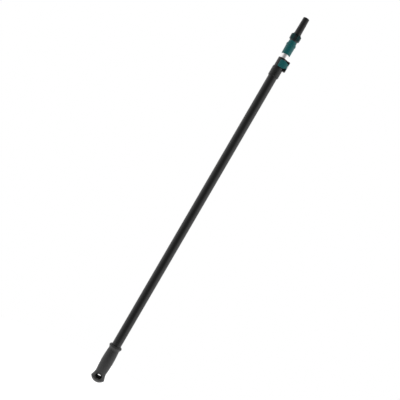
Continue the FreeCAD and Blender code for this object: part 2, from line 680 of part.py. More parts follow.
def rivet_seats(wall_r, height):
    """Flat seats that are cut into a round wall for the rivet heads."""
    radius = RIVET_HEAD_R + RIVET_SEAT_GAP
    return Part.makeCompound(
        [radial_pin(radius, wall_r - RIVET_SINK, wall_r + 2 * CUT, a, height) for a in RIVET_ANGLES]
    )


def rivets(inner, wall_r, height):
    """The two rivets at one height: a shank and a low round head on its seat."""
    seat = wall_r - RIVET_SINK
    made = []
    for angle in RIVET_ANGLES:
        shank = radial_pin(RIVET_R, inner, seat + RIVET_HEAD_T / 2, angle, height)
        head = radial_pin(RIVET_HEAD_R, seat, seat + RIVET_HEAD_T, angle, height)
        made.append(shank.fuse(head).removeSplitter())
    return Part.makeCompound(made)


def clamp_rivets():
    return rivets(OUTER_BORE_R, SOCKET_R, SOCKET_FOOT + CLAMP_RIVET_UP)


def head_rivets():
    inner = HOUSING_PLUG_R - HEAD_RIVET_DEPTH
    return rivets(inner, sleeve_radius(HEAD_RIVET_UP), SLEEVE_FOOT_Z + HEAD_RIVET_UP)


# ---------------------------------------------------------------- latch housing and buttons
def latch_housing():
    """Plug in the neck, with a disc and an upright core between the two release buttons."""
    housing = cylinder(HOUSING_PLUG_R, SLEEVE_TOP_Z - HOUSING_PLUG, SLEEVE_TOP_Z)
    housing = housing.fuse(cylinder(HOUSING_DISC_R, SLEEVE_TOP_Z, CHAMBER_Z))
    core = block(-CORE_HALF_X, CORE_HALF_X, -CORE_HALF_Y, CORE_HALF_Y, SLEEVE_TOP_Z, CHAMBER_TOP)
    lip = tube(HOUSING_DISC_R, LIP_IN_R, CHAMBER_Z - CUT, CHAMBER_Z + LIP_HEIGHT)
    housing = housing.fuse(core).fuse(lip).removeSplitter()
    for side in (-1, 1):
        seat = point(side * CORE_HALF_X, 0, BUTTON_MID_Z)
        housing = housing.cut(Part.makeCylinder(SPRING_SEAT_R, SPRING_SEAT_CORE, seat, ALONG_X * -side))
    return housing.cut(cone_screw_hole()).cut(head_rivet_holes())


def latch_button(side):
    """Thumb button on one side (-1 or 1): a rounded block with two cheeks that lap over the core,
    and a tab that the lips hold in."""
    grip_block = block(CHEEK_IN_X, BUTTON_R, -BUTTON_HALF_Y, BUTTON_HALF_Y, BUTTON_LOW_Z, BUTTON_TOP_Z)
    gap_y = CORE_HALF_Y + BODY_GAP
    grip_block = grip_block.cut(block(0, BUTTON_IN_X, -gap_y, gap_y, CHAMBER_Z, CHAMBER_TOP))
    ramp_start = BUTTON_TOP_Z - BUTTON_RAMP
    outline = lines([
        (0.0, BUTTON_LOW_Z),
        (BUTTON_R - BUTTON_EDGE_R, BUTTON_LOW_Z),
        (BUTTON_R, BUTTON_LOW_Z + BUTTON_EDGE_R),
        (BUTTON_R, ramp_start),
        (BUTTON_R - BUTTON_RAMP, BUTTON_TOP_Z),
        (0.0, BUTTON_TOP_Z),
    ])
    button = grip_block.common(lathe(outline))
    for k in range(GROOVE_COUNT):
        middle = BUTTON_MID_Z + (k - (GROOVE_COUNT - 1) / 2) * GROOVE_PITCH
        low = middle - GROOVE_WIDTH / 2
        button = button.cut(tube(BUTTON_R + CUT, BUTTON_R - GROOVE_DEPTH, low, low + GROOVE_WIDTH))
    tab_r = LIP_IN_R - BODY_GAP
    tab = cylinder(tab_r, CHAMBER_Z + BODY_GAP, CHAMBER_TOP - BODY_GAP)
    tab_half_y = BUTTON_HALF_Y - BUTTON_TAB_INSET
    tab = tab.common(block(BUTTON_IN_X, tab_r, -tab_half_y, tab_half_y, CHAMBER_Z, CHAMBER_TOP))
    button = button.fuse(tab).removeSplitter()
    pocket = Part.makeCylinder(
        SPRING_SEAT_R, SPRING_SEAT_BUTTON + CUT, point(BUTTON_IN_X - CUT, 0, BUTTON_MID_Z), ALONG_X
    )
    button = button.cut(pocket)
    if side < 0:
        button.rotate(point(0, 0), UP, 180)
    return button


def button_spring(side):
    """Compression spring from its seat in the core to the bottom of the button's pocket."""
    start = CORE_HALF_X - SPRING_SEAT_CORE + SPRING_WIRE_R
    length = BUTTON_IN_X + SPRING_SEAT_BUTTON - SPRING_WIRE_R - start
    helix = Part.makeHelix(length / SPRING_TURNS, length, SPRING_R)
    wire = Part.Wire(Part.makeCircle(SPRING_WIRE_R, point(SPRING_R, 0), ALONG_Y))
    spring = Part.Wire(helix.Edges).makePipeShell([wire], True, True)
    spring.rotate(point(0, 0), ALONG_Y, 90 * side)
    spring.translate(point(side * start, 0, BUTTON_MID_Z))
    return spring


# ---------------------------------------------------------------- tool cone
def tool_cone():
    """Fluted cone that tools push onto, on a disc that covers the latch chamber."""
    outline = path(
        (0.0, CHAMBER_TOP),
        ((CONE_DISC_R, CHAMBER_TOP),),
        ((CONE_DISC_R, CONE_FOOT_Z),),
        ((CONE_FOOT_R, CONE_FOOT_Z),),
        ((CONE_TIP_R, CONE_TIP_Z),),
        ((0.0, CONE_TIP_Z),),
    )
    cone = lathe(outline)
    cone = round_edges(cone, CONE_TIP_ROUND, lambda b: near(b.ZMin, CONE_TIP_Z) and near(b.ZMax, CONE_TIP_Z))
    lip = tube(CONE_DISC_R, LIP_IN_R, CHAMBER_TOP - LIP_HEIGHT, CHAMBER_TOP + CUT)
    cone = cone.fuse(lip).removeSplitter()
    cone = cone.cut(cylinder(TIP_RECESS_R, CONE_TIP_Z - TIP_RECESS_DEPTH, CONE_TIP_Z + CUT))
    for k in range(FLUTE_COUNT):
        cone = cone.cut(flute(k * FULL_TURN / FLUTE_COUNT))
    return cone.cut(cone_screw_hole())


def flute(angle):
    """Cutter for one flute: a round bar along the cone's slope, with ball ends."""
    way = point(math.cos(math.radians(angle)), math.sin(math.radians(angle)))
    slope = (CONE_TIP_R - CONE_FOOT_R) / CONE_LENGTH

    def centre(up):
        radius = CONE_FOOT_R + slope * up + FLUTE_R - FLUTE_DEPTH
        return way * radius + point(0, 0, CONE_FOOT_Z + up)

    low = centre(FLUTE_MARGIN + FLUTE_R)
    high = centre(CONE_LENGTH - FLUTE_MARGIN - FLUTE_R)
    bar = Part.makeCylinder(FLUTE_R, (high - low).Length, low, high - low)
    return bar.fuse([Part.makeSphere(FLUTE_R, low), Part.makeSphere(FLUTE_R, high)])


def cone_screw_hole():
    low = SLEEVE_TOP_Z - SCREW_INTO_PLUG - CUT
    return cylinder(SCREW_R + SLIP, low, CONE_TIP_Z)


def cone_screw():
    """Long screw that holds the cone to the housing, its head sunk in the cone's tip."""
    seat = CONE_TIP_Z - TIP_RECESS_DEPTH
    top = seat + SCREW_HEAD_T
    shank = cylinder(SCREW_R, SLEEVE_TOP_Z - SCREW_INTO_PLUG, top)
    socket = plan_prism(hexagon(SCREW_SOCKET_FLATS, 0, 0), top - SCREW_SOCKET_DEPTH, top + CUT)
    return shank.fuse(cylinder(SCREW_HEAD_R, seat, top)).cut(socket).removeSplitter()


NODES = {
    "handle_grip": handle_grip,
    "tube_plug": tube_plug,
    "outer_tube": outer_tube,
    "guide_bush": guide_bush,
    "clamp_body": clamp_body,
    "clamp_rivets": clamp_rivets,
    "tension_bolt": tension_bolt,
    "lever_pin": lever_pin,
    "adjusting_nut": adjusting_nut,
    "cam_washer": cam_washer,
    "clamp_lever": clamp_lever,
    "glide_ring": glide_ring,
    "inner_guide": inner_guide,
    "guide_pin": guide_pin,
    "inner_tube": inner_tube,
    "head_sleeve": head_sleeve,
    "head_rivets": head_rivets,
    "latch_housing": latch_housing,
    "latch_button_left": lambda: latch_button(-1),
    "latch_button_right": lambda: latch_button(1),
    "button_spring_left": lambda: button_spring(-1),
    "button_spring_right": lambda: button_spring(1),
    "tool_cone": tool_cone,
    "cone_screw": cone_screw,
}

os.makedirs("parts", exist_ok=True)
for name, make in NODES.items():
    make().exportStep(f"parts/{name}.step")
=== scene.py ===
"""Two-section telescopic window cleaning pole: its finishes and turned pieces, and a studio."""

import json
import math

import bmesh
import bpy
from bpy.props import FloatProperty, FloatVectorProperty, IntProperty, PointerProperty
from mathutils import Matrix, Vector

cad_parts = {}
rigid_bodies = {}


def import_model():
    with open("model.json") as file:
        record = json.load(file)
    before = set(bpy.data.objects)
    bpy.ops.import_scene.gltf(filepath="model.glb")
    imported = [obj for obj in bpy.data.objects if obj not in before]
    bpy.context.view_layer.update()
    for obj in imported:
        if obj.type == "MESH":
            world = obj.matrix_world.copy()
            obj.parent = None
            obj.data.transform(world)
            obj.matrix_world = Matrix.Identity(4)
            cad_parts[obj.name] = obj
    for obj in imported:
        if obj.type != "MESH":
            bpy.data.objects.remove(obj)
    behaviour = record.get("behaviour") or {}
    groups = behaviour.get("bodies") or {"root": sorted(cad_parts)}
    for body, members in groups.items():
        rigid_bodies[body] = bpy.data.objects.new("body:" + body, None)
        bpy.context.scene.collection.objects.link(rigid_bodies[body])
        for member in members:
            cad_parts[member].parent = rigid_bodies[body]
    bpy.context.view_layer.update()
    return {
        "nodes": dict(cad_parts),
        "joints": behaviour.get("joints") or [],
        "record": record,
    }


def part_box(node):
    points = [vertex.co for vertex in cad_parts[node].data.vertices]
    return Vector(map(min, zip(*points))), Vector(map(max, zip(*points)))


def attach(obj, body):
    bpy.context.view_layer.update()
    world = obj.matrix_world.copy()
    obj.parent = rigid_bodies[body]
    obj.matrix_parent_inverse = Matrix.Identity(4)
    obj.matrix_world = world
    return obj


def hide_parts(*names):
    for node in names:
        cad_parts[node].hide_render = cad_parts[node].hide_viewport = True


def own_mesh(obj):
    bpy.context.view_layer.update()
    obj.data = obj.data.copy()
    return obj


bl_info = {
    "name": "Telescopic Cleaning Pole",
    "version": (1, 0, 0),
    "blender": (4, 5, 0),
    "location": "View3D > Sidebar > Pole",
    "description": "Builds the looks of a telescopic cleaning pole around its CAD frame",
    "category": "Object",
}

for leftover in list(bpy.data.objects):
    bpy.data.objects.remove(leftover)
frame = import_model()
MM = 0.001
SAME_POINT = 0.002 * MM      # points of a drilled mesh nearer than this are one
SENSOR_WIDTH = 36.0
LAMP_DISTANCE = 2.6
CUTTER_FACES = 32
POLE_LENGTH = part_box("tool_cone")[1].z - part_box("handle_grip")[0].z


# ------------------------------------------------------------------ sizes and colours
class PoleSizes(bpy.types.PropertyGroup):
    """Sizes of the tubes and springs that are made here, and of the painted shade on the hang
    hole's wall.
    """

    segments: IntProperty(
        name="Segments",
        description="Faces round each turned piece",
        default=96, min=24, max=256,
    )
    outer_wall: FloatProperty(
        name="Outer tube wall",
        description="Wall thickness of the black outer tube",
        default=1.5 * MM, unit="LENGTH",
    )
    inner_wall: FloatProperty(
        name="Inner tube wall",
        description="Wall thickness of the bare inner tube",
        default=1.25 * MM, unit="LENGTH",
    )
    tube_chamfer: FloatProperty(
        name="Tube end chamfer",
        description="How far the cut ends of both tubes are broken",
        default=0.25 * MM, unit="LENGTH",
    )
    pin_hole: FloatProperty(
        name="Pin hole",
        description="Radius of the rivet and pin holes through the tubes' walls",
        default=1.55 * MM, unit="LENGTH",
    )
    # The hang hole sizes below only shape the painted shade on the hang hole's wall.
    hang_hole_width: FloatProperty(
        name="Hang hole width",
        description="Width of the hang hole's oblong mouths",
        default=19.0 * MM, unit="LENGTH",
    )
    hang_hole_height: FloatProperty(
        name="Hang hole height",
        description="Height of the hang hole's oblong mouths",
        default=12.5 * MM, unit="LENGTH",
    )
    hang_hole_skin: FloatProperty(
        name="Hang hole skin",
        description="How far inside the grip's widest circle the hang hole's wall starts to darken",
        default=3.0 * MM, unit="LENGTH",
    )
    hang_hole_depth: FloatProperty(
        name="Hang hole depth",
        description="How much further in the hang hole's wall is fully dark",
        default=5.5 * MM, unit="LENGTH",
    )
    hang_hole_lip: FloatProperty(
        name="Hang hole lip",
        description="Width round a mouth over which the dark of the hang hole's wall ends",
        default=0.8 * MM, unit="LENGTH",
    )
    hang_hole_margin: FloatProperty(
        name="Hang hole margin",
        description="How far outside a mouth's outline the dark is still full",
        default=0.2 * MM, unit="LENGTH",
    )
    spring_wire: FloatProperty(
        name="Spring wire",
        description="Radius of the button springs' wire",
        default=0.35 * MM, unit="LENGTH",
    )
    spring_turns: IntProperty(
        name="Spring turns", description="Turns in each button spring", default=5, min=1,
    )


class PoleColours(bpy.types.PropertyGroup):
    """Base colours of the pole's materials."""

    rubber: FloatVectorProperty(
        name="Grip rubber", description="Matte rubber of the grip",
        default=(0.017, 0.017, 0.017), size=3, subtype="COLOR", min=0.0, max=1.0,
    )
    anodised: FloatVectorProperty(
        name="Outer tube", description="Black anodised aluminium",
        default=(0.005, 0.005, 0.005), size=3, subtype="COLOR", min=0.0, max=1.0,
    )
    aluminium: FloatVectorProperty(
        name="Inner tube", description="Bare drawn aluminium",
        default=(0.91, 0.885, 0.89), size=3, subtype="COLOR", min=0.0, max=1.0,
    )
    black: FloatVectorProperty(
        name="Black plastic", description="Clamp and tool cone",
        default=(0.005, 0.005, 0.005), size=3, subtype="COLOR", min=0.0, max=1.0,
    )
    # Painted shade: the teal plastic darkened further for the latch housing.
    painted_shade_teal_housing: FloatVectorProperty(
        name="Teal plastic in deep painted shade", description="Latch housing",
        default=(0.008, 0.016, 0.02), size=3, subtype="COLOR", min=0.0, max=1.0,
    )
    teal: FloatVectorProperty(
        name="Teal plastic", description="Clamp lever and head sleeve",
        default=(0.001, 0.107, 0.11), size=3, subtype="COLOR", min=0.0, max=1.0,
    )
    # Painted shade: the teal plastic darkened for the release buttons.
    painted_shade_teal_buttons: FloatVectorProperty(
        name="Teal plastic in painted shade", description="Release buttons",
        default=(0.004, 0.036, 0.038), size=3, subtype="COLOR", min=0.0, max=1.0,
    )
    grey: FloatVectorProperty(
        name="Bearing plastic", description="Plug, bush, slide ring and guide",
        default=(0.3, 0.3, 0.3), size=3, subtype="COLOR", min=0.0, max=1.0,
    )
    steel: FloatVectorProperty(
        name="Steel", description="Rivets, bolt, pins, nut, screw and springs",
        default=(0.58, 0.58, 0.59), size=3, subtype="COLOR", min=0.0, max=1.0,
    )


class StudioSettings(bpy.types.PropertyGroup):
    """Camera and light."""

    distance: FloatProperty(
        name="Camera distance", description="From the camera to the middle of the pole",
        default=2.3, unit="LENGTH",
    )
    lens: FloatProperty(
        name="Lens", description="Focal length in millimetres on a 36 mm sensor", default=66.24
    )
    lean: FloatProperty(
        name="Lean", description="How far the pole leans to the right in the picture",
        default=math.radians(30.2), subtype="ANGLE",
    )
    aside: FloatProperty(
        name="Aside", description="How far the pole's middle stands right of the picture's middle",
        default=3.1 * MM, unit="LENGTH",
    )
    front_level: FloatProperty(
        name="Front level", description="Brightness of the studio behind the camera, 1 is white",
        default=0.2, min=0.0, max=1.0,
    )
    cap_dimming: FloatProperty(
        name="Dimming above and below",
        description="How much dimmer the studio's ceiling and ground look in a reflection",
        default=0.7, min=0.0, max=1.0,
    )
    floor_reach: FloatProperty(
        name="Floor radius", description="Radius of the round floor", default=0.5, unit="LENGTH"
    )
    floor_gap: FloatProperty(
        name="Floor gap", description="Height of the held pole above the floor",
        default=60 * MM, unit="LENGTH",
    )


# ------------------------------------------------------------------ shader nodes
class Socket:
    """A node's output that can stand in an expression: each operator adds the node it needs."""

    def __init__(self, nodes, output):
        self.nodes = nodes
        self.output = output

    def joined(self, operation, first, second):
        if self.output.type == "VECTOR":
            return self.nodes.add("VectorMath", {"operation": operation}, {0: first, 1: second})
        return self.nodes.math(operation, first, second)

    def __add__(self, other):
        return self.joined("ADD", self, other)

    def __radd__(self, other):
        return self.joined("ADD", other, self)

    def __sub__(self, other):
        return self.joined("SUBTRACT", self, other)

    def __rsub__(self, other):
        return self.joined("SUBTRACT", other, self)

    def __mul__(self, other):
        return self.joined("MULTIPLY", self, other)

    def __rmul__(self, other):
        return self.joined("MULTIPLY", other, self)

    def __abs__(self):
        return self.nodes.math("ABSOLUTE", self)


class Nodes:
    """The node tree of one material or of the world."""

    def __init__(self, tree):
        self.tree = tree
        tree.nodes.clear()

    def add(self, kind, settings=None, inputs=None, output=0):
        """Adds a node: its settings come first, then the numbers or links of its sockets."""
        node = self.tree.nodes.new("ShaderNode" + kind)
        for name, value in (settings or {}).items():
            setattr(node, name, value)
        for name, value in (inputs or {}).items():
            self.feed(node.inputs[name], value)
        return Socket(self, node.outputs[output]) if node.outputs else None

    def feed(self, target, value):
        if isinstance(value, Socket):
            self.tree.links.new(value.output, target)
        elif target.type == "RGBA":
            target.default_value = (*value, 1.0)
        elif target.type == "VECTOR" and not hasattr(value, "__len__"):
            target.default_value = (value,) * 3
        else:
            target.default_value = value

    def math(self, operation, first, second=0.0):
        return self.add("Math", {"operation": operation}, {0: first, 1: second})

    def place(self):
        """The point in the pole's own frame, in metres."""
        return self.add("TexCoord", output="Object")

    def part(self, vector, letter):
        """One of a vector's three parts."""
        return self.add("SeparateXYZ", None, {0: vector}, letter)

    def noise(self, place, scale, detail=2.0):
        return self.add("TexNoise", None, {"Vector": place, "Scale": scale, "Detail": detail})

    def step(self, value, low, high):
        """0 below low and 1 above high, smooth in between."""
        settings = {"interpolation_type": "SMOOTHSTEP"}
        return self.add("MapRange", settings, {"Value": value, "From Min": low, "From Max": high})

    def mix(self, first, second, share):
        """A colour between two others."""
        settings = {"data_type": "RGBA", "blend_type": "MIX"}
        return self.add("Mix", settings, {0: share, 6: first, 7: second}, 2)

    def edges(self, radius):
        """1 on the outer edges of the piece within a radius, 0 on its faces."""
        soft = self.add("Bevel", {"samples": 6}, {"Radius": radius})
        sharp = self.add("NewGeometry", output="Normal")
        same = self.add("VectorMath", {"operation": "DOT_PRODUCT"}, {0: soft, 1: sharp}, 1)
        return self.step(1.0 - same, 0.02, 0.3)

    def bump(self, height, depth):
        """A normal from a height between 0 and 1 and the depth, in metres, that it stands for."""
        return self.add("Bump", None, {"Height": height, "Distance": depth, "Strength": 1.0})


def material(name, build, *values):
    """A material whose surface build(nodes, *values) gives: a shader, or a plastic's sockets."""
    made = bpy.data.materials.new(name)
    made.use_nodes = True
    nodes = Nodes(made.node_tree)
    surface = build(nodes, *values)
    if not isinstance(surface, Socket):
        surface = nodes.add("BsdfPrincipled", None, surface)
    nodes.add("OutputMaterial", None, {"Surface": surface})
    return made


def tinted(colour, share):
    """The colour made darker or lighter in proportion."""
    return tuple(min(1.0, c * share) for c in colour)


def wear_and_highlight_tint(colour, amount):
    """The colour with the greyish bloom of rubbed plastic, also used as a painted highlight on
    edges.
    """
    return tuple(c + amount * (1.0 - c) for c in colour)


def mould_line(nodes, place, width):
    """1 on the fine line where the mould's halves met, on a turned piece's +X and -X sides."""
    return 1.0 - nodes.step(abs(nodes.part(place, "Y")), 0.3 * width, width)


def rubber(nodes, colour):
    """Soft matte rubber: fine pits, a mould line, dust, and broad patches polished by hands."""
    place = nodes.place()
    pits = nodes.noise(place, 2400.0, 3.0)
    patches = nodes.noise(place, 45.0)
    dust = nodes.step(nodes.noise(place, 500.0, 4.0), 0.56, 0.72)
    line = mould_line(nodes, place, 0.35 * MM)
    body = nodes.mix(tinted(colour, 0.84), tinted(colour, 1.16), patches)
    return {
        "Base Color": nodes.mix(body, tinted(colour, 1.8), dust * 0.5),
        "Roughness": 0.36 + 0.14 * patches + 0.1 * dust,
        "Normal": nodes.bump(pits + 1.5 * line, 0.05 * MM),
    }


def grip_rubber(nodes, colour, sizes):
    """The grip's rubber, with painted shade on its hang hole's wall: a dull dark copy of the rubber
    mixed in there.
    """
    skin = nodes.add("BsdfPrincipled", None, rubber(nodes, colour))
    # Painted shade: the rubber made dark, dull and nearly without reflection for the hang hole's
    # wall.
    shade = {"Base Color": tinted(colour, 0.15), "Roughness": 1.0, "Specular IOR Level": 0.1}
    wall = nodes.add("BsdfPrincipled", None, shade)
    return nodes.add("MixShader", None, {0: hang_hole_painted_shade(nodes, sizes), 1: skin, 2: wall})


def hang_hole_painted_shade(nodes, sizes):
    """Mask of the painted shade: 1 deep on the wall of the hang hole, less near its mouths, 0 on
    the grip's skin.
    """
    mount = next(m for m in frame["record"]["mounts"] if m["name"] == "hang_hole")
    radius = sizes.hang_hole_height / 2
    half = sizes.hang_hole_width / 2 - radius
    from_middle = nodes.place() - tuple(mount["pos_m"])
    beyond = nodes.math("MAXIMUM", abs(nodes.part(from_middle, "X")) - half, 0.0)
    up = nodes.part(from_middle, "Z")
    away = nodes.math("SQRT", beyond * beyond + up * up)
    full = radius + sizes.hang_hole_margin
    inside = 1.0 - nodes.step(away, full, full + sizes.hang_hole_lip)
    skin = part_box("handle_grip")[1].y - sizes.hang_hole_skin
    deep = 1.0 - nodes.step(abs(nodes.part(from_middle, "Y")), skin - sizes.hang_hole_depth, skin)
    return inside * (0.4 + 0.6 * deep)


def drawn(nodes, place):
    """Fine lines along the tube, as a drawing die leaves them."""
    return nodes.noise(place * (1.0, 1.0, 0.012), 1400.0, 4.0)


def anodised(nodes, colour):
    """Black anodised tube: satin, with die lines, faint smears and a few hairline scratches."""
    place = nodes.place()
    die_lines = drawn(nodes, place)
    smears = nodes.noise(place * (1.0, 1.0, 0.2), 30.0)
    scratches = nodes.step(nodes.noise(place * (1.0, 1.0, 0.04), 700.0, 2.0), 0.7, 0.78)
    body = nodes.mix(tinted(colour, 0.75), tinted(colour, 1.35), die_lines)
    return {
        "Base Color": nodes.mix(body, wear_and_highlight_tint(colour, 0.03), scratches),
        "Roughness": 0.22 + 0.08 * die_lines + 0.08 * smears,
        "Normal": nodes.bump(die_lines, 0.006 * MM),
    }


def bare_aluminium(nodes, colour):
    """Drawn aluminium, with die lines and the dull rub marks of the clamp."""
    place = nodes.place()
    die_lines = drawn(nodes, place)
    rubbed = nodes.noise(place * (1.0, 1.0, 0.05), 120.0)
    return {
        "Base Color": nodes.mix(tinted(colour, 0.94), tinted(colour, 1.05), die_lines),
        "Metallic": 1.0,
        "Roughness": 0.3 + 0.08 * die_lines + 0.08 * rubbed,
        "Normal": nodes.bump(die_lines, 0.006 * MM),
    }


def moulded(nodes, colour, roughness, grain_depth, line_height, sheen=0.5):
    """Moulded plastic: eroded grain, a mould line, scuffs, and edges a little lighter, partly as
    rubbed wear and partly as a painted highlight.
    """
    place = nodes.place()
    grain = nodes.noise(place, 2800.0, 2.0)
    flow = nodes.noise(place * (1.0, 1.0, 0.4), 70.0)
    scuffs = nodes.step(nodes.noise(place * (1.0, 1.0, 0.3), 800.0, 4.0), 0.62, 0.76)
    edges = nodes.edges(0.4 * MM)
    line = mould_line(nodes, place, 0.2 * MM)
    body = nodes.mix(tinted(colour, 0.88), tinted(colour, 1.12), flow)
    return {
        # Edges painted lighter: partly rubbed wear, partly a painted highlight; the scuffs are
        # wear.
        "Base Color": nodes.mix(body, wear_and_highlight_tint(colour, 0.02), edges * 0.6 + scuffs * 0.4),
        "Specular IOR Level": sheen,
        "Roughness": roughness + 0.08 * flow + 0.12 * scuffs - 0.06 * edges,
        "Normal": nodes.bump(grain + line_height * line, grain_depth),
    }


def steel(nodes, colour):
    """Plated steel: bright, with turning marks and a slightly uneven plating."""
    place = nodes.place()
    marks = nodes.noise(place * (1.0, 1.0, 6.0), 900.0, 3.0)
    plating = nodes.noise(place, 260.0)
    return {
        "Base Color": nodes.mix(tinted(colour, 0.82), tinted(colour, 1.1), plating),
        "Metallic": 1.0,
        "Roughness": 0.24 + 0.16 * marks,
        "Normal": nodes.bump(marks, 0.008 * MM),
    }


# ------------------------------------------------------------------ meshes
def placed(name, bm):
    """A new object in the scene from a bmesh, which is then freed."""
    mesh = bpy.data.meshes.new(name)
    bm.to_mesh(mesh)
    bm.free()
    piece = bpy.data.objects.new(name, mesh)
    bpy.context.scene.collection.objects.link(piece)
    return piece


def turned(name, outline, segments):
    """A closed piece from its outline of (radius, height) points, turned about the pole's axis."""
    bm = bmesh.new()
    verts = [bm.verts.new((radius, 0.0, height)) for radius, height in outline]
    edges = [bm.edges.new(pair) for pair in zip(verts, verts[1:] + verts[:1])]
    bmesh.ops.spin(
        bm, geom=verts + edges, cent=(0, 0, 0), axis=(0, 0, 1),
        angle=math.tau, steps=segments, use_merge=True,
    )
    bmesh.ops.remove_doubles(bm, verts=bm.verts, dist=1e-7)
    bmesh.ops.recalc_face_normals(bm, faces=bm.faces)
    return placed(name, bm)


def bar(name, radius, start, end):
    """A round cutter from one point to another."""
    bm = bmesh.new()
    way = end - start
    turn = way.to_track_quat("Z", "Y").to_matrix().to_4x4()
    bmesh.ops.create_cone(
        bm, cap_ends=True, segments=CUTTER_FACES, radius1=radius, radius2=radius,
        depth=way.length, matrix=Matrix.Translation((start + end) / 2) @ turn,
    )
    return placed(name, bm)


def shape_up(piece):
    """Applies the piece's modifiers."""
    graph = bpy.context.evaluated_depsgraph_get()
    made = bpy.data.meshes.new_from_object(piece.evaluated_get(graph))
    piece.modifiers.clear()
    piece.data = made


def drilled(piece, cutters):
    """Takes the cutters out of the piece, clears the slivers this leaves, and removes them."""
    for cutter in cutters:
        boolean = piece.modifiers.new("hole", "BOOLEAN")
        boolean.object = cutter
        boolean.solver = "EXACT"
    shape_up(piece)
    bm = bmesh.new()
    bm.from_mesh(piece.data)
    bmesh.ops.remove_doubles(bm, verts=bm.verts, dist=SAME_POINT)
    bmesh.ops.dissolve_degenerate(bm, edges=bm.edges, dist=SAME_POINT)
    bm.to_mesh(piece.data)
    bm.free()
    for cutter in cutters:
        bpy.data.objects.remove(cutter)


def smoothed(piece, angle=35.0):
    """Smooth faces with crisp edges, and normals that favour the large faces."""
    piece.data.shade_smooth()
    piece.data.set_sharp_from_angle(angle=math.radians(angle))
    weighted = piece.modifiers.new("even normals", "WEIGHTED_NORMAL")
    weighted.keep_sharp = True
    shape_up(piece)


def tube_outline(outer, wall, low, high, chamfer, rings):
    """A tube's wall with both ends' edges broken, and a ring of points at each given height."""
    inner = outer - wall
    return [
        (outer, low + chamfer),
        *[(outer, height) for height in rings],
        (outer, high - chamfer),
        (outer - chamfer, high),
        (inner + chamfer, high),
        (inner, high - chamfer),
        *[(inner, height) for height in reversed(rings)],
        (inner, low + chamfer),
        (inner + chamfer, low),
        (outer - chamfer, low),
    ]


def pin_lines(node, reach):
    """Start and end of each pin of a CAD node: out from the axis, or along Y right across it."""
    lines = []
    for points in islands(frame["nodes"][node]):
        centre = sum(points, Vector()) / len(points)
        axis = Vector((0.0, 0.0, centre.z))
        way = (centre - axis) / reach
        if way.length > 0.1:
            lines.append((axis + way * reach / 2, axis + way.normalized() * 2 * reach))
        else:
            lines.append((axis + Vector((0, -2 * reach, 0)), axis + Vector((0, 2 * reach, 0))))
    return lines


def islands(cad_object):
    """The separate solids of a CAD node, each as its list of points."""
    bm = bmesh.new()
    bm.from_mesh(cad_object.data)
    bmesh.ops.remove_doubles(bm, verts=bm.verts, dist=1e-6)
    unseen = set(bm.verts)
    found = []
    while unseen:
        waiting = [unseen.pop()]
        points = []
        while waiting:
            vert = waiting.pop()
            points.append(vert.co.copy())
            nearby = {edge.other_vert(vert) for edge in vert.link_edges} & unseen
            unseen -= nearby
            waiting.extend(nearby)
        found.append(points)
    bm.free()
    return found


def coil(name, low, high, wire, turns, steps=24, sides=8):
    """A spring along X that fills the box, wound from its end nearest the pole's axis."""
    middle = (low + high) / 2
    side = math.copysign(1.0, middle.x)
    way = Vector((side, 0.0, 0.0))
    first = Vector((0.0, 0.0, -side))
    second = way.cross(first)
    radius = (high.z - low.z) / 2 - wire
    length = high.x - low.x - 2 * wire
    start = middle - way * length / 2
    angles = [math.tau * k / sides for k in range(sides)]
    bm = bmesh.new()
    rings = []
    for step in range(turns * steps + 1):
        wound = math.tau * step / steps
        across = first * math.cos(wound) + second * math.sin(wound)
        centre = start + way * length * step / (turns * steps) + across * radius
        rings.append([
            bm.verts.new(centre + (across * math.cos(angle) + way * math.sin(angle)) * wire)
            for angle in angles
        ])
    for ring, after in zip(rings, rings[1:]):
        for k in range(sides):
            bm.faces.new((ring[k], ring[k - 1], after[k - 1], after[k]))
    bm.faces.new(rings[0])
    bm.faces.new(rings[-1])
    bmesh.ops.recalc_face_normals(bm, faces=bm.faces)
    return placed(name, bm)


def button_spring(node, joint, finish):
    """One spring, wound to fill its CAD node's box and carried by the inner section."""
    sizes = bpy.context.scene.pole_sizes
    low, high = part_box(node)
    spring = coil(node + "_coil", low, high, sizes.spring_wire, sizes.spring_turns)
    smoothed(spring)
    spring.data.materials.append(finish)
    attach(spring, "inner_section")
    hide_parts(node)
    travel = next(max(each["range_m"]) for each in frame["joints"] if each["name"] == joint)
    1 - travel / (high.x - low.x)
    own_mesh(spring)


def paint(name, made):
    """Gives a CAD node's object one material."""
    piece = frame["nodes"][name]
    piece.data.materials.clear()
    piece.data.materials.append(made)


# ------------------------------------------------------------------ operators
class POLE_OT_tubes(bpy.types.Operator):
    """Turn both tubes at their CAD sizes, with many faces, broken ends and drilled pin holes"""

    bl_idname = "pole.tubes"
    bl_label = "Tubes"

    def execute(self, context):
        sizes = context.scene.pole_sizes
        colours = context.scene.pole_colours
        outer = material("anodised_tube", anodised, tuple(colours.anodised))
        inner = material("drawn_tube", bare_aluminium, tuple(colours.aluminium))
        turned_tube(
            "outer_tube", "pole_base", sizes.outer_wall, outer, ["clamp_rivets"],
        )
        turned_tube(
            "inner_tube", "inner_section", sizes.inner_wall, inner,
            ["guide_pin", "head_rivets"],
        )
        return {"FINISHED"}


def turned_tube(node, body, wall, finish, pins):
    """One tube: turned, drilled for its pins, and standing for its CAD node."""
    sizes = bpy.context.scene.pole_sizes
    low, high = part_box(node)
    lines = [line for pin in pins for line in pin_lines(pin, high.x)]
    heights = {round(start.z, 6) for start, end in lines}
    rings = sorted(height + side * 2 * sizes.pin_hole for height in heights for side in (-1, 1))
    outline = tube_outline(high.x, wall, low.z, high.z, sizes.tube_chamfer, rings)
    tube = turned(node + "_shell", outline, sizes.segments)
    drilled(tube, [bar("drill", sizes.pin_hole, start, end) for start, end in lines])
    smoothed(tube)
    tube.data.materials.append(finish)
    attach(tube, body)
    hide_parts(node)


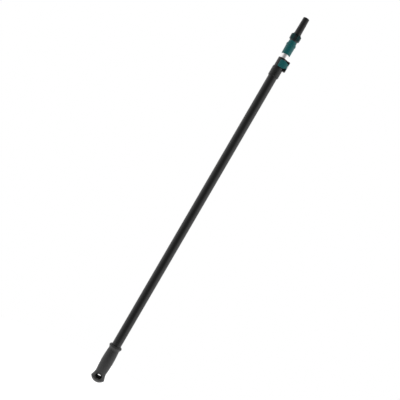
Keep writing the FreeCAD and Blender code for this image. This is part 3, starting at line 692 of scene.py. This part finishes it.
class POLE_OT_grip(bpy.types.Operator):
    """Finish the rubber grip"""

    bl_idname = "pole.grip"
    bl_label = "Grip"

    def execute(self, context):
        colour = tuple(context.scene.pole_colours.rubber)
        sizes = context.scene.pole_sizes
        paint("handle_grip", material("matte_rubber", grip_rubber, colour, sizes))
        return {"FINISHED"}


class POLE_OT_clamp(bpy.types.Operator):
    """Finish the clamp and its lever"""

    bl_idname = "pole.clamp"
    bl_label = "Clamp"

    def execute(self, context):
        colours = context.scene.pole_colours
        body = material("clamp_plastic", moulded, tuple(colours.black), 0.27, 0.02 * MM, 2.0)
        lever = material("lever_plastic", moulded, tuple(colours.teal), 0.22, 0.01 * MM, 0.0)
        paint("clamp_body", body)
        paint("clamp_lever", lever)
        return {"FINISHED"}


class POLE_OT_head(bpy.types.Operator):
    """Finish the head sleeve, the latch and the tool cone"""

    bl_idname = "pole.head"
    bl_label = "Head"

    def execute(self, context):
        colours = context.scene.pole_colours
        sleeve = material(
            "sleeve_plastic", moulded, tuple(colours.teal), 0.24, 0.01 * MM, 3.0, 0.35
        )
        black = material("head_plastic", moulded, tuple(colours.black), 0.25, 0.015 * MM, 2.0)
        # The release buttons: teal plastic darkened as painted shade.
        button = material(
            "button_teal_painted_shade", moulded, tuple(colours.painted_shade_teal_buttons), 0.3, 0.012 * MM, 0.0
        )
        # The latch housing: teal plastic darkened as painted shade.
        housing = material(
            "housing_teal_painted_shade", moulded, tuple(colours.painted_shade_teal_housing), 0.3, 0.012 * MM, 2.0
        )
        paint("head_sleeve", sleeve)
        paint("tool_cone", black)
        paint("latch_housing", housing)
        for name in ("latch_button_left", "latch_button_right"):
            paint(name, button)
        return {"FINISHED"}


class POLE_OT_bearings(bpy.types.Operator):
    """Finish the plug, bush, slide ring and guide"""

    bl_idname = "pole.bearings"
    bl_label = "Bearings"

    def execute(self, context):
        colours = context.scene.pole_colours
        grey = material("bearing_plastic", moulded, tuple(colours.grey), 0.4, 0.008 * MM, 2.0)
        for name in ("tube_plug", "guide_bush", "glide_ring", "inner_guide"):
            paint(name, grey)
        return {"FINISHED"}


class POLE_OT_fasteners(bpy.types.Operator):
    """Finish the rivets, bolt, nut, washer, pins and screw, and wind the button springs"""

    bl_idname = "pole.fasteners"
    bl_label = "Fasteners"

    def execute(self, context):
        colours = context.scene.pole_colours
        plated = material("plated_steel", steel, tuple(colours.steel))
        for name in (
            "clamp_rivets", "head_rivets", "tension_bolt", "adjusting_nut", "cam_washer",
            "lever_pin", "guide_pin", "cone_screw",
        ):
            paint(name, plated)
        for side in ("left", "right"):
            button_spring("button_spring_" + side, f"button_{side}_press", plated)
        return {"FINISHED"}


class POLE_OT_studio(bpy.types.Operator):
    """Set up the pale floor, the soft light and the camera"""

    bl_idname = "pole.studio"
    bl_label = "Studio"

    def execute(self, context):
        settings = context.scene.pole_studio
        studio_world(context.scene, settings)
        studio_floor(settings)
        studio_lamps()
        studio_camera(context.scene, settings)
        context.scene.view_settings.view_transform = "Standard"
        return {"FINISHED"}


def studio_world(scene, settings):
    """White all round, but for the dim side of the studio where the camera stands."""
    scene.world = bpy.data.worlds.new("studio")
    scene.world.use_nodes = True
    nodes = Nodes(scene.world.node_tree)
    way = nodes.add("TexCoord", output="Generated")
    turn = nodes.math("ARCTAN2", nodes.part(way, "X"), 0.0 - nodes.part(way, "Y"))
    right = nodes.step(turn, math.radians(16), math.radians(55))
    left = nodes.step(0.0 - turn, math.radians(10), math.radians(100))
    sides = nodes.math("MINIMUM", right + left, 1.0)
    steep = nodes.step(abs(nodes.part(way, "Z")), 0.4, 0.8)
    soft_light = nodes.math("MINIMUM", sides + steep, 1.0)
    reflected = sides * (1.0 - settings.cap_dimming * steep)
    mirrored = nodes.add("LightPath", output="Is Glossy Ray")
    lit = mirrored * reflected + (1.0 - mirrored) * soft_light
    level = settings.front_level + (1.0 - settings.front_level) * lit
    seen = nodes.add("LightPath", output="Is Camera Ray") + nodes.add(
        "LightPath", output="Is Transmission Ray"
    )
    strength = level * (1.0 - seen) + seen
    background = nodes.add("Background", None, {"Color": (1.0, 1.0, 1.0), "Strength": strength})
    nodes.add("OutputWorld", None, {"Surface": background})


def studio_floor(settings):
    """A round pale floor below the pole, which is shown white and keeps the pole's shadow."""
    bm = bmesh.new()
    bmesh.ops.create_circle(bm, cap_ends=True, segments=96, radius=settings.floor_reach)
    floor = placed("floor", bm)
    floor.location.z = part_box("handle_grip")[0].z - settings.floor_gap
    made = bpy.data.materials.new("pale_floor")
    made.use_nodes = True
    nodes = Nodes(made.node_tree)
    kinds = ("Camera", "Glossy", "Transmission")
    camera, glossy, transmission = [
        nodes.add("LightPath", output=f"Is {kind} Ray") for kind in kinds
    ]
    strength = 0.45 * (camera + glossy + transmission)
    matte = nodes.add("BsdfDiffuse", None, {"Color": (0.8, 0.8, 0.8)})
    lift = nodes.add("Emission", None, {"Color": (1.0, 1.0, 1.0), "Strength": strength})
    surface = nodes.add("AddShader", None, {0: matte, 1: lift})
    nodes.add("OutputMaterial", None, {"Surface": surface})
    floor.data.materials.append(made)


def studio_lamps():
    """Two tall softboxes beside the pole and one above it."""
    middle = Vector((0.0, 0.0, POLE_LENGTH / 2))
    boxes = (
        ("softbox_right", 1.2, 2.4, 5.0, 80.0, 5.0),
        ("softbox_left", 1.2, 2.4, 3.0, -95.0, 5.0),
        ("softbox_above", 2.0, 2.0, 5.0, 20.0, 65.0),
    )
    for name, wide, tall, power, side, height in boxes:
        lamp = bpy.data.lights.new(name, "AREA")
        lamp.shape = "RECTANGLE"
        lamp.size = wide
        lamp.size_y = tall
        lamp.energy = power
        turn, rise = math.radians(side), math.radians(height)
        way = Vector((
            math.sin(turn) * math.cos(rise), -math.cos(turn) * math.cos(rise), math.sin(rise)
        ))
        softbox = bpy.data.objects.new(name, lamp)
        softbox.location = middle + way * LAMP_DISTANCE
        softbox.rotation_euler = way.to_track_quat("Z", "Y").to_euler()
        bpy.context.scene.collection.objects.link(softbox)


def studio_camera(scene, settings):
    """Level with the pole's middle, and rolled so that the pole leans to the right."""
    data = bpy.data.cameras.new("camera")
    data.lens = settings.lens
    data.sensor_width = SENSOR_WIDTH
    data.clip_end = 100.0
    camera = bpy.data.objects.new("camera", data)
    right = Vector((math.cos(settings.lean), 0.0, math.sin(settings.lean)))
    back = Vector((0.0, -1.0, 0.0))
    up = back.cross(right)
    turn = Matrix((right, up, back)).transposed().to_4x4()
    middle = Vector((0.0, 0.0, POLE_LENGTH / 2))
    spot = middle + back * settings.distance - right * settings.aside
    camera.matrix_world = Matrix.Translation(spot) @ turn
    scene.collection.objects.link(camera)
    scene.camera = camera


class POLE_PT_panel(bpy.types.Panel):
    """The pole's sizes, colours and steps"""

    bl_idname = "POLE_PT_panel"
    bl_label = "Telescopic Cleaning Pole"
    bl_space_type = "VIEW_3D"
    bl_region_type = "UI"
    bl_category = "Pole"

    def draw(self, context):
        for group_name, group in GROUPS.items():
            box = self.layout.box()
            for name in group.__annotations__:
                box.prop(getattr(context.scene, group_name), name)
        for operator in OPERATORS:
            self.layout.operator(operator.bl_idname)


GROUPS = {"pole_sizes": PoleSizes, "pole_colours": PoleColours, "pole_studio": StudioSettings}
OPERATORS = (
    POLE_OT_tubes,
    POLE_OT_grip,
    POLE_OT_clamp,
    POLE_OT_head,
    POLE_OT_bearings,
    POLE_OT_fasteners,
    POLE_OT_studio,
)


def register():
    for cls in (*GROUPS.values(), *OPERATORS, POLE_PT_panel):
        bpy.utils.register_class(cls)
    for name, group in GROUPS.items():
        setattr(bpy.types.Scene, name, PointerProperty(type=group))


def unregister():
    for name in GROUPS:
        delattr(bpy.types.Scene, name)
    for cls in (POLE_PT_panel, *reversed(OPERATORS), *reversed(list(GROUPS.values()))):
        bpy.utils.unregister_class(cls)


def main():
    register()
    bpy.ops.pole.tubes()
    bpy.ops.pole.grip()
    bpy.ops.pole.clamp()
    bpy.ops.pole.head()
    bpy.ops.pole.bearings()
    bpy.ops.pole.fasteners()
    bpy.ops.pole.studio()


if __name__ == "__main__":
    main()
